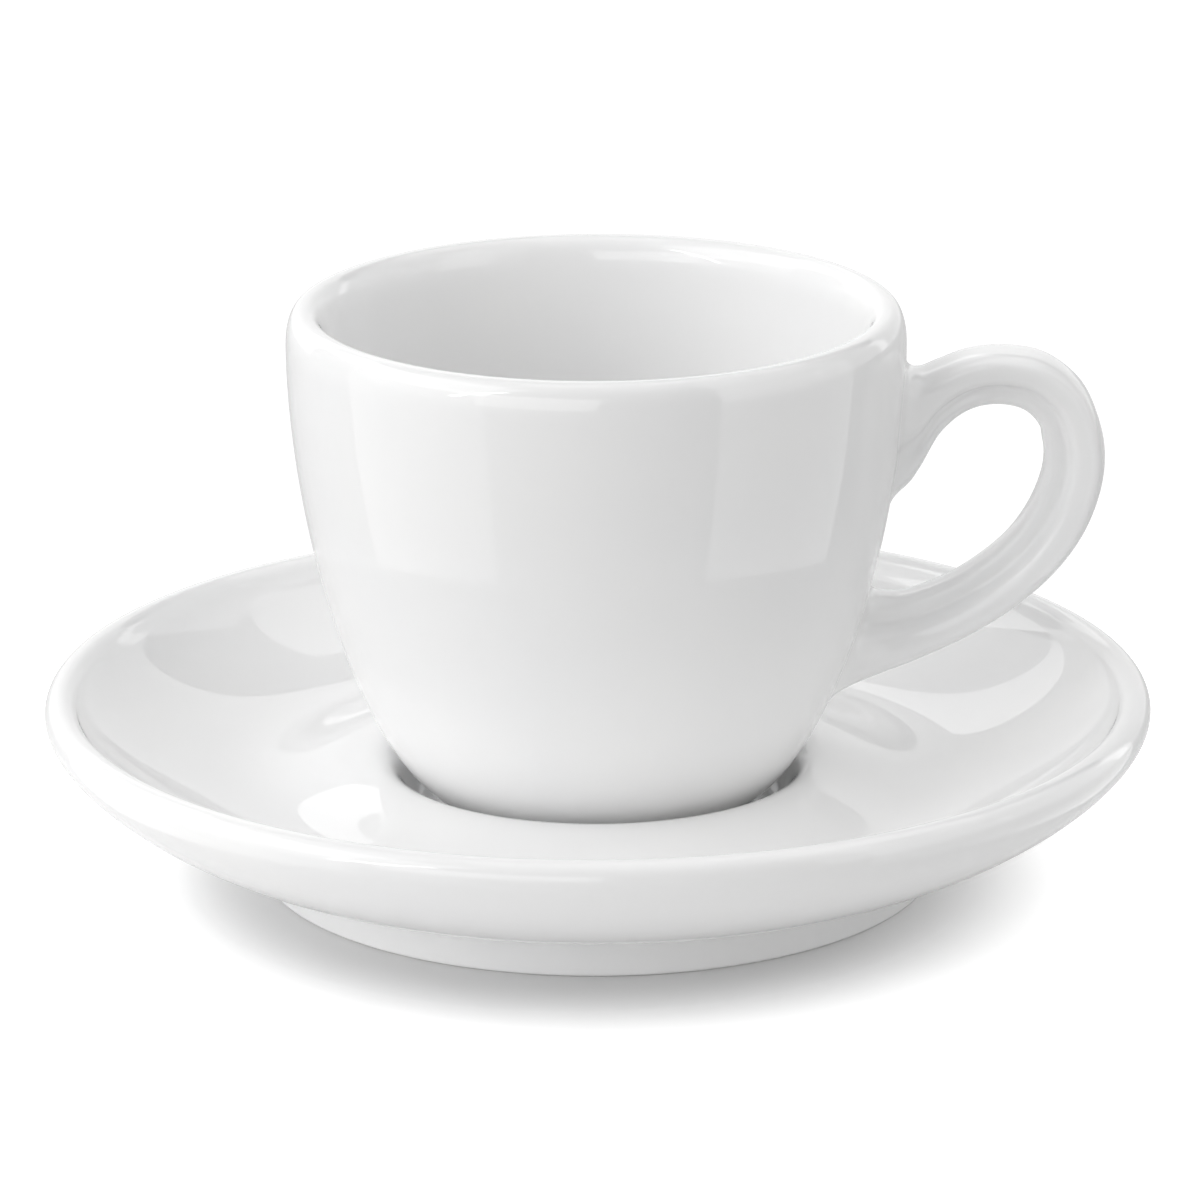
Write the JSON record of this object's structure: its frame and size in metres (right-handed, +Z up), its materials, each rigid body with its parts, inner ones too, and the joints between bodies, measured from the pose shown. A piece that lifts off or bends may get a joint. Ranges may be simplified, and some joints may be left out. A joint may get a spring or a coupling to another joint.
{
  "type": "espresso cup with saucer",
  "caption": "Thick-walled espresso cup with a moulded ear handle, standing in the well of its footed saucer; the cup lifts out.",
  "frame": {"origin": "on the table, under the centre of the saucer's foot ring", "axes": "+Z up along the common axis of saucer and cup, +X towards the cup's handle, +Y to the far side as the picture sees it"},
  "size_m": [0.12, 0.12, 0.0627],
  "materials": {
    "glazed_porcelain": "clear gloss glaze over white porcelain, foot rings ground bare"
  },
  "bodies": {
    "saucer": {"saucer": "glazed_porcelain"},
    "cup": {"cup_body": "glazed_porcelain", "cup_handle": "glazed_porcelain"}
  },
  "joints": [
    {"name": "cup_lift", "type": "slide", "parent": "saucer", "child": "cup", "axis": [0, 0, 1], "range_m": [0, 0.08]}
  ]
}
